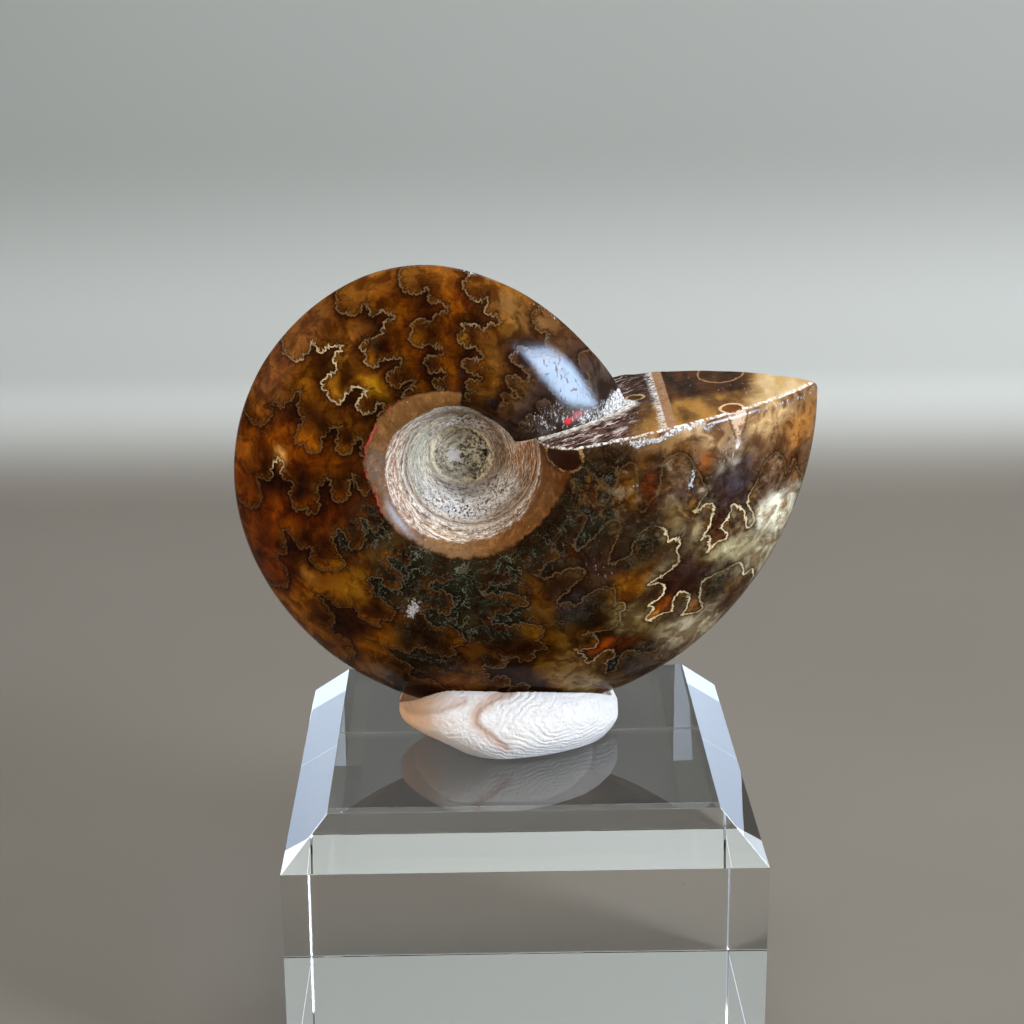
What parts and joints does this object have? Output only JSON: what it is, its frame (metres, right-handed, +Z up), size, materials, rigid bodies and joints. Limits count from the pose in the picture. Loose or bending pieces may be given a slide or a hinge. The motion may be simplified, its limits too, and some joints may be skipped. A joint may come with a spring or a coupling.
{
  "type": "polished ammonite on an acrylic block",
  "caption": "Polished whole ammonite fossil held upright by a lump of putty on a bevelled clear acrylic display block.",
  "frame": {"origin": "middle of the acrylic block's underside", "axes": "+Z up, -Y the front of the display, +X towards the ammonite's aperture"},
  "size_m": [0.0501, 0.04, 0.0682],
  "materials": {
    "polished_fossil": "polished",
    "white_putty": "matte",
    "clear_acrylic": "clear polished"
  },
  "bodies": {
    "root": {"ammonite": "polished_fossil", "putty": "white_putty", "display_block": "clear_acrylic"}
  },
  "joints": []
}
